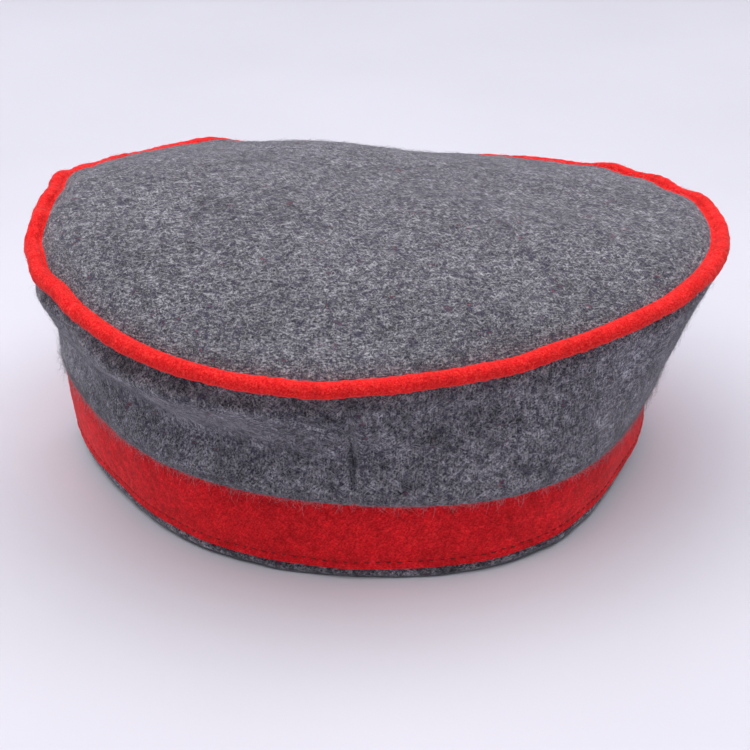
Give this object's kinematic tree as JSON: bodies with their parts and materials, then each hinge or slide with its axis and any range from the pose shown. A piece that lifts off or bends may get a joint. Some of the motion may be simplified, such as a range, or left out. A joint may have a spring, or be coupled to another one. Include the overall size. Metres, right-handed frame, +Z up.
{
  "type": "soft military cap",
  "caption": "Soft peakless field cap in grey wool, with a red band, red crown piping, lining and a leather sweatband.",
  "frame": {"origin": "centre of the overall box, on the plane of the lower rim", "axes": "+X along the long axis, towards the wearer's forehead; +Y towards the wearer's left; +Z up, out through the crown"},
  "size_m": [0.2434, 0.2184, 0.1059],
  "materials": {
    "grey_wool_crown": "matt heathered wool",
    "grey_wool_side": "matt heathered wool",
    "red_wool": "matt felted wool",
    "red_piping": "matt wool",
    "lining_cloth": "matt cotton twill",
    "canvas": "matt linen canvas",
    "wadding": "matt cotton wadding",
    "cord": "matt cotton cord",
    "sweat_leather": "smooth, low sheen",
    "label_cloth": "matt woven tape",
    "dark_thread": "matt thread",
    "light_thread": "matt thread"
  },
  "bodies": {
    "root": {"crown_top": "grey_wool_crown", "crown_canvas": "canvas", "crown_padding": "wadding", "lining_top": "lining_cloth", "piping_cover": "red_piping", "piping_cord": "cord", "side_right_front": "grey_wool_side", "side_left_front": "grey_wool_side", "side_left_rear": "grey_wool_side", "side_right_rear": "grey_wool_side", "lining_right": "lining_cloth", "lining_left": "lining_cloth", "body_band": "grey_wool_side", "red_band": "red_wool", "band_canvas": "canvas", "sweatband": "sweat_leather", "size_label": "label_cloth", "band_stitches": "dark_thread", "sweatband_stitches": "light_thread"}
  },
  "joints": []
}
